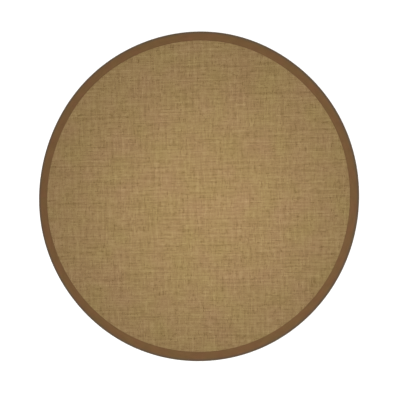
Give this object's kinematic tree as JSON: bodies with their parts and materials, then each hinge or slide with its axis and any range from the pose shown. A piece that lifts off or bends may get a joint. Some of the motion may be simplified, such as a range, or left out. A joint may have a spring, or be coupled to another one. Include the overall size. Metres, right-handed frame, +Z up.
{
  "type": "round sisal rug",
  "caption": "Flat round rug of thick woven sisal with a broad fabric tape folded over its rim and sewn on; lies on a floor.",
  "frame": {"origin": "middle of the underside, on the floor", "axes": "+Z up out of the woven face; +X to the right and +Y to the top of the picture, within about a degree of the weave's two yarn directions"},
  "size_m": [1.8288, 1.8288, 0.0075],
  "materials": {
    "woven_sisal": "matt woven sisal yarn in straw and light brown tones",
    "cotton_tape": "matt brown cotton twill tape",
    "sewing_thread": "matt brown sewing thread, a little darker than the tape"
  },
  "bodies": {
    "root": {"sisal_field": "woven_sisal", "binding_tape": "cotton_tape"}
  },
  "joints": []
}
